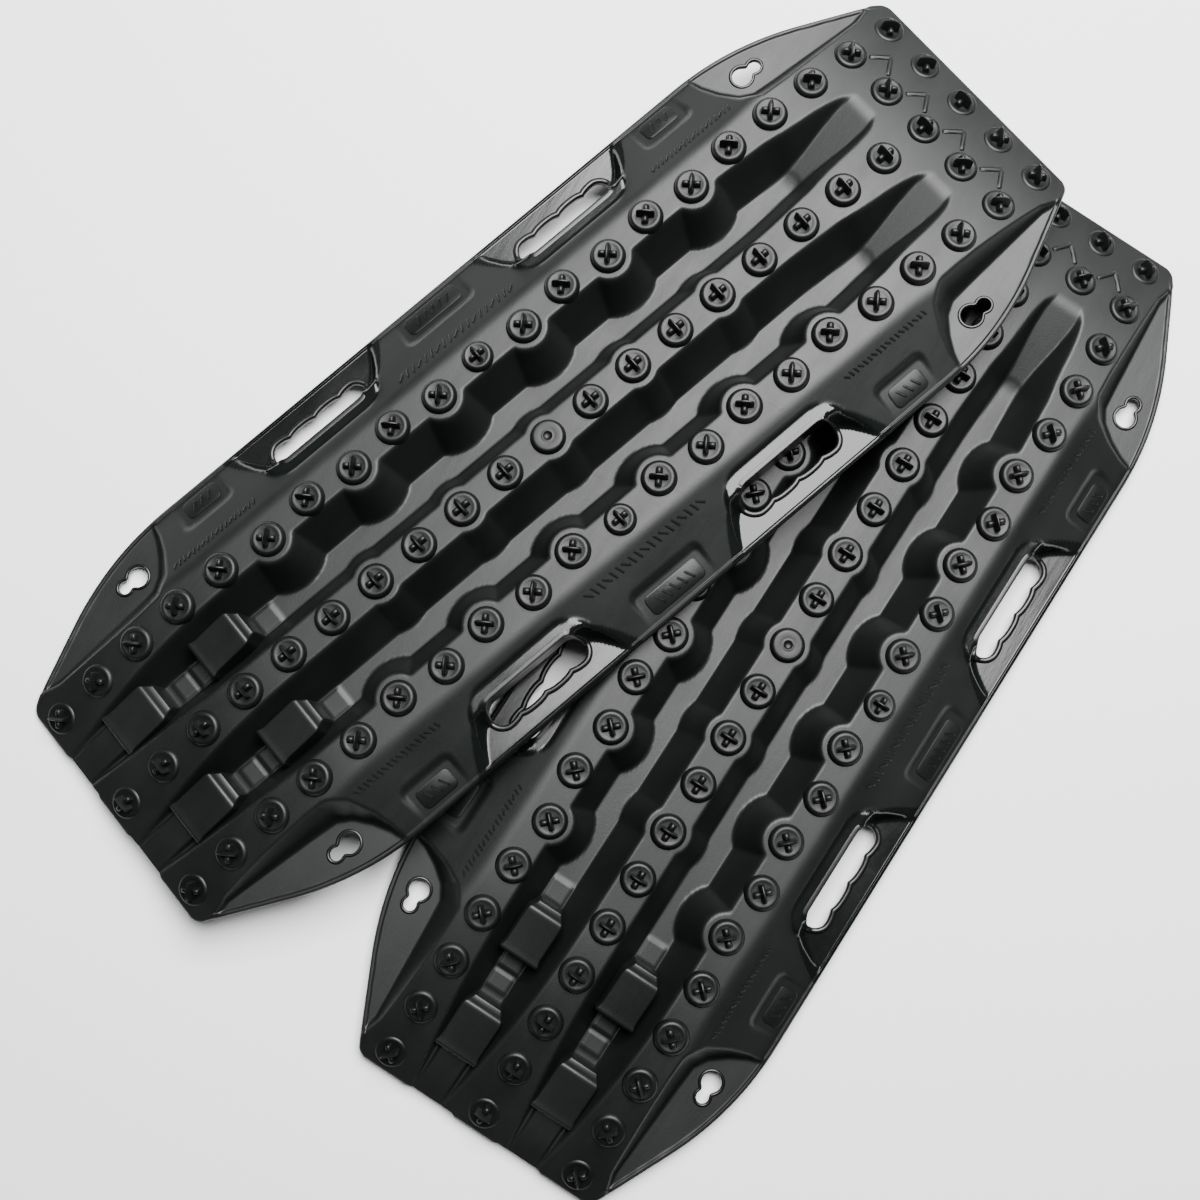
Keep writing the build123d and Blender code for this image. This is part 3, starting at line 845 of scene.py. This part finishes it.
# ---- placing ---------------------------------------------------------------------------------
def board_matrix(which):
    """Where a board is, from the record's four keyhole mounts."""
    at = {m["name"]: Vector(m["pos_m"]) for m in frame["record"]["mounts"]}
    hole = {(end, side): at[f"{which}_{side}_{end}_keyhole"]
            for end in ("nose", "tail") for side in ("left", "right")}
    middle = sum(hole.values(), Vector()) / 4
    along = (hole["nose", "left"] + hole["nose", "right"]
             - hole["tail", "left"] - hole["tail", "right"]).normalized()
    across = (hole["nose", "left"] + hole["tail", "left"]
              - hole["nose", "right"] - hole["tail", "right"]).normalized()
    up = along.cross(across).normalized()
    turn = Matrix((along, up.cross(along), up)).transposed().to_4x4()
    return Matrix.Translation(middle - up * KEY_MOUNT_Z * MM) @ turn


def make_mesh(name, part, material, loops=None, gloss=None, sharp=None):
    """A mesh in metres, smooth by its own corner normals or except at edges sharper than an angle."""
    verts, faces = part
    mesh = bpy.data.meshes.new(name)
    mesh.from_pydata((np.asarray(verts) * MM).tolist(), [], faces)
    mesh.validate(clean_customdata=False)
    mesh.polygons.foreach_set("use_smooth", [True] * len(mesh.polygons))
    if loops is not None:
        mesh.normals_split_custom_set(loops)
    elif sharp:
        mesh.set_sharp_from_angle(angle=math.radians(sharp))
    if gloss is not None:
        shine = mesh.attributes.new("gloss", "FLOAT", "POINT")
        shine.data.foreach_set("value", gloss.astype(np.float32))
    mesh.materials.append(material)
    mesh.update()
    return mesh


def crossed(side):
    """An outer rail's studs turn to and fro, and its middle one stands square."""
    return lambda row: 45 * side * (-1) ** row if row else 0


NOSE_STUDS = [stud(row * PITCH, side * PITCH, 45 * side * (-1) ** row)
              for row in (ROWS - 1, ROWS) for side in SIDES]
# Each raised piece: name, shape, material, slot, the CAD node it stands for, sharp angle.
RAISED = (
    ("centre_stud_row", stud_row(0.0, lambda row: 0), STUD, "stud_nylon", "centre_studs", 40),
    ("left_stud_row", stud_row(RAIL_Y, crossed(1)), STUD, "stud_nylon", "left_studs", 40),
    ("right_stud_row", stud_row(-RAIL_Y, crossed(-1)), STUD, "stud_nylon", "right_studs", 40),
    ("nose_stud_group", merged(NOSE_STUDS), STUD, "stud_nylon", "nose_studs", 40),
    ("gate_disc", gate_button(), STUD, "stud_nylon", "gate_button", 50),
    ("ramp_blocks", wedge_blocks(), BLACK, "black_nylon", "wedge_blocks", 38),
    ("hand_slot_rims", hole_rims("slot", SLOT_RIM), POLISHED, "polished_nylon", "handle_rims", 80),
    ("keyhole_rims", hole_rims("key", KEY_RIM), POLISHED, "polished_nylon", None, 80),
    ("flange_plates", side_badges(), STUD, "polished_nylon", "side_badges", 40),
    ("flange_ribs", flange_ribs(), BLACK, "black_nylon", None, 60),
    ("nose_arrows", nose_chevrons(), BLACK, "black_nylon", "nose_chevrons", 60),
)
MESHES = []                      # piece, mesh, slot, the CAD node it stands for
for node, (verts, faces, loops, gloss) in build_sheet().items():
    mesh = make_mesh(f"{node}_skin", (verts, faces), BLACK, loops, gloss)
    MESHES.append((f"{node}_skin", mesh, "black_nylon", node))
for piece, part, material, slot, node, sharp in RAISED:
    MESHES.append((piece, make_mesh(piece, part, material, sharp=sharp), slot, node))

for which in BOARDS:
    place = board_matrix(which)
    for piece, mesh, slot, node in MESHES:
        placed = mesh.copy()
        placed.transform(place)
        obj = bpy.data.objects.new(f"{which}_{piece}", placed)
        bpy.context.scene.collection.objects.link(obj)
        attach(obj, f"{which}_board")
        if node:
            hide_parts(f"{which}_{node}")


# ---- floor, light and camera -----------------------------------------------------------------
def make_floor():
    """A wide sheet of pale paper, just below the ground so that nothing shares its plane."""
    size, steps, level = 12.0, 24, -0.0003
    line = np.linspace(-size, size, steps + 1)
    verts = [(x, y, level) for x in line for y in line]
    n = steps + 1
    faces = [[i * n + j, (i + 1) * n + j, (i + 1) * n + j + 1, i * n + j + 1]
             for i in range(steps) for j in range(steps)]
    mesh = bpy.data.meshes.new("floor")
    mesh.from_pydata(verts, [], faces)
    floor = bpy.data.objects.new("floor", mesh)
    bpy.context.scene.collection.objects.link(floor)
    paper = bpy.data.materials.new("paper")
    paper.use_nodes = True
    nodes, links = paper.node_tree.nodes, paper.node_tree.links
    shader = nodes["Principled BSDF"]
    shader.inputs["Roughness"].default_value = 0.9
    grain = nodes.new("ShaderNodeTexNoise")
    grain.inputs["Scale"].default_value = 3.0
    tint = nodes.new("ShaderNodeMix")
    tint.data_type = "RGBA"
    tint.inputs["A"].default_value = (0.93, 0.93, 0.93, 1)
    tint.inputs["B"].default_value = (0.96, 0.96, 0.96, 1)
    links.new(grain.outputs["Fac"], tint.inputs["Factor"])
    links.new(tint.outputs["Result"], shader.inputs["Base Color"])
    mesh.materials.append(paper)


def softbox(name, at, look, width, depth, power):
    """A soft rectangular lamp, in metres and watts, turned to look at a point."""
    data = bpy.data.lights.new(name, "AREA")
    data.shape = "RECTANGLE"
    data.size, data.size_y = width, depth
    data.energy = power
    lamp = bpy.data.objects.new(name, data)
    bpy.context.scene.collection.objects.link(lamp)
    lamp.location = at
    lamp.rotation_euler = (Vector(look) - Vector(at)).to_track_quat("-Z", "Y").to_euler()


make_floor()
softbox("overhead", at=(0.97, 0.28, 2.0), look=(0.5, 0.08, 0.0), width=1.7, depth=2.0, power=228)
world = bpy.data.worlds.new("studio")
world.use_nodes = True
world.node_tree.nodes["Background"].inputs["Color"].default_value = (0.94, 0.96, 1.0, 1)
world.node_tree.nodes["Background"].inputs["Strength"].default_value = 0.07
bpy.context.scene.world = world

# The camera looks almost straight down, turned so that the boards run from lower left to upper right.
TARGET = Vector((-0.0663, -0.0160, 0.0))
DISTANCE = 1.2404
TILT = math.radians(6.13)        # off the vertical, towards AZIMUTH
AZIMUTH = math.radians(188.43)
SPIN = math.radians(33.11)       # turn of the picture about the line of sight
LENS = 46.05                     # millimetres, on a sensor SENSOR wide
SENSOR = 36
back = Vector((math.sin(TILT) * math.cos(AZIMUTH), math.sin(TILT) * math.sin(AZIMUTH), math.cos(TILT)))
right = Vector((math.cos(SPIN), math.sin(SPIN), 0)).cross(back).normalized()
camera = bpy.data.objects.new("camera", bpy.data.cameras.new("camera"))
bpy.context.scene.collection.objects.link(camera)
camera.data.sensor_width = SENSOR
camera.data.lens = LENS
camera.data.clip_start, camera.data.clip_end = 0.05, 60
turn = Matrix((right, back.cross(right), back)).transposed().to_4x4()
camera.matrix_world = Matrix.Translation(TARGET + back * DISTANCE) @ turn
bpy.context.scene.camera = camera
